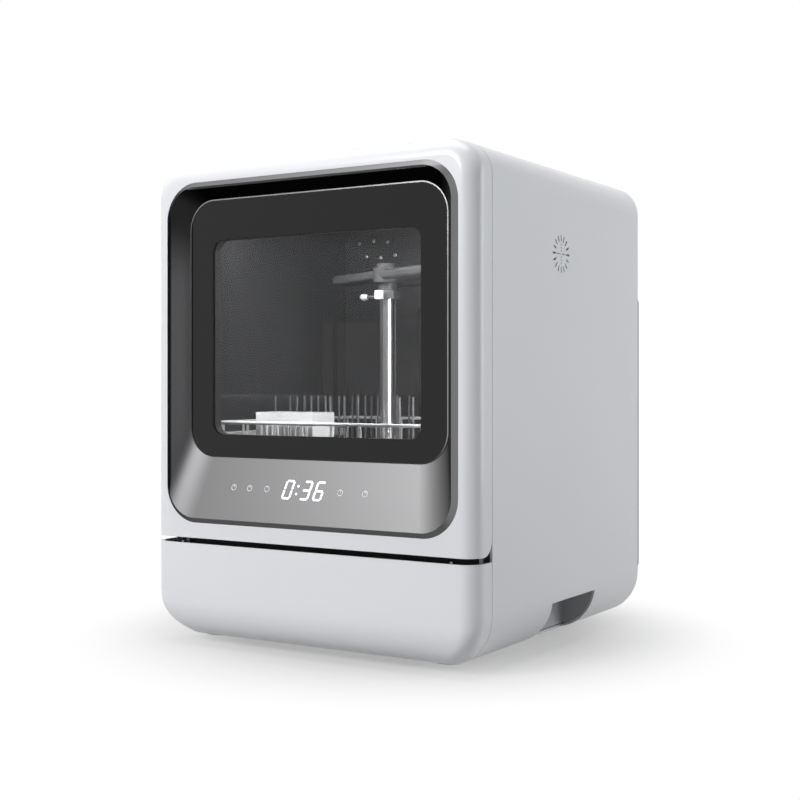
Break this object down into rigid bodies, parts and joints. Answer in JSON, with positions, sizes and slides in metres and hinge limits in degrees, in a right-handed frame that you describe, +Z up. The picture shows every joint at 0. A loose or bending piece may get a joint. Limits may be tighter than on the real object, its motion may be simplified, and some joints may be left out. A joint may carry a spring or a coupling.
{
  "type": "countertop dishwasher",
  "caption": "Countertop dishwasher with a drop-down glazed door, pull-out wire rack, rotating spray arms, cutlery basket, filter cup, pumps and a side vent.",
  "frame": {"origin": "on the floor under the middle of the overall box", "axes": "+X to the right seen from the front, -Y out of the door, +Z up"},
  "size_m": [0.3702, 0.383, 0.48],
  "materials": {
    "white_shell": "satin gloss",
    "charcoal_bezel": "metallic satin",
    "bright_trim": "polished",
    "clear_glass": "smoked",
    "black_rubber": "matte",
    "display_white": "lit",
    "dark_plastic": "fine grain",
    "tub_grey": "satin",
    "white_plastic": "satin",
    "grey_plastic": "satin",
    "chrome_tube": "polished",
    "rack_wire": "coated wire",
    "steel": "brushed",
    "pipe_plastic": "satin",
    "circuit_board": "coated"
  },
  "bodies": {
    "cabinet": {"wrap_casing": "white_shell", "lower_front_panel": "white_shell", "base_pan": "white_plastic", "rubber_feet": "black_rubber", "handle_cups": "dark_plastic", "tub_liner": "tub_grey", "tub_back_duct": "tub_grey", "door_seal": "black_rubber", "front_sill": "dark_plastic", "rack_rails": "white_plastic", "sump_bowl": "grey_plastic", "filter_plate": "steel", "lower_arm_hub": "grey_plastic", "lower_arm_cap": "white_plastic", "hinge_brackets": "steel", "hinge_pins": "steel", "hinge_springs": "steel", "latch_housing": "dark_plastic", "door_switch": "dark_plastic", "pump_volutes": "grey_plastic", "pump_motors": "steel", "water_heater": "steel", "spray_feed_pipe": "pipe_plastic", "hoses": "black_rubber", "back_panel": "dark_plastic", "rear_cover": "dark_plastic", "rear_screws": "steel", "inlet_valve": "white_plastic", "rear_fittings": "dark_plastic", "fan_housing": "dark_plastic", "control_box": "dark_plastic", "control_board": "circuit_board"},
    "door": {"door_frame": "white_shell", "bezel": "charcoal_bezel", "glass_trim": "bright_trim", "outer_glass": "clear_glass", "window_frame": "black_rubber", "inner_glass": "clear_glass", "inner_door_panel": "tub_grey", "display_digits": "display_white", "key_marks": "display_white", "display_board": "circuit_board", "hinge_arms": "steel", "latch_striker": "white_plastic"},
    "rack": {"rack_floor": "rack_wire", "rack_rim": "rack_wire", "rack_tines": "rack_wire", "rack_runners": "white_plastic", "riser_collar": "white_plastic", "riser_tube": "chrome_tube", "upper_arm_hub": "white_plastic"},
    "upper_arm": {"upper_spray_arm": "grey_plastic"},
    "lower_arm": {"lower_spray_arm": "grey_plastic"},
    "cutlery": {"cutlery_basket": "white_plastic"},
    "filter": {"filter_cup": "grey_plastic"},
    "wash_wheel": {"wash_impeller": "grey_plastic"},
    "drain_wheel": {"drain_impeller": "grey_plastic"},
    "fan_wheel": {"fan_rotor": "dark_plastic"},
    "plunger": {"switch_plunger": "white_plastic"}
  },
  "joints": [
    {"name": "door_hinge", "type": "hinge", "parent": "cabinet", "child": "door", "pos_m": [0, -0.1717, 0.1234], "axis": [1, 0, 0], "range_deg": [0, 85]},
    {"name": "rack_slide", "type": "slide", "parent": "cabinet", "child": "rack", "axis": [0, -1, 0], "range_m": [0, 0.127]},
    {"name": "upper_arm_spin", "type": "hinge", "parent": "rack", "child": "upper_arm", "pos_m": [0, -0.0375, 0.374], "axis": [0, 0, 1], "continuous": true},
    {"name": "lower_arm_spin", "type": "hinge", "parent": "cabinet", "child": "lower_arm", "pos_m": [0, -0.0375, 0.1625], "axis": [0, 0, 1], "continuous": true},
    {"name": "cutlery_lift", "type": "slide", "parent": "rack", "child": "cutlery", "axis": [0, 0, 1], "range_m": [0, 0.1]},
    {"name": "filter_turn", "type": "hinge", "parent": "cabinet", "child": "filter", "pos_m": [0, 0.048, 0.11], "axis": [0, 0, 1], "range_deg": [0, 90]},
    {"name": "wash_impeller_spin", "type": "hinge", "parent": "cabinet", "child": "wash_wheel", "pos_m": [-0.078, 0.108, 0.0418], "axis": [1, 0, 0], "continuous": true},
    {"name": "drain_impeller_spin", "type": "hinge", "parent": "cabinet", "child": "drain_wheel", "pos_m": [0.062, 0.108, 0.0308], "axis": [1, 0, 0], "continuous": true},
    {"name": "fan_spin", "type": "hinge", "parent": "cabinet", "child": "fan_wheel", "pos_m": [0.176, -0.0116, 0.389], "axis": [1, 0, 0], "continuous": true},
    {"name": "switch_press", "type": "slide", "parent": "cabinet", "child": "plunger", "axis": [0, 1, 0], "range_m": [0, 0.002], "stiffness_N_per_m": 200}
  ],
  "couplings": [
    {"joint": "rack_slide", "follows": "door_hinge", "m_per_rad": 0.085}
  ]
}
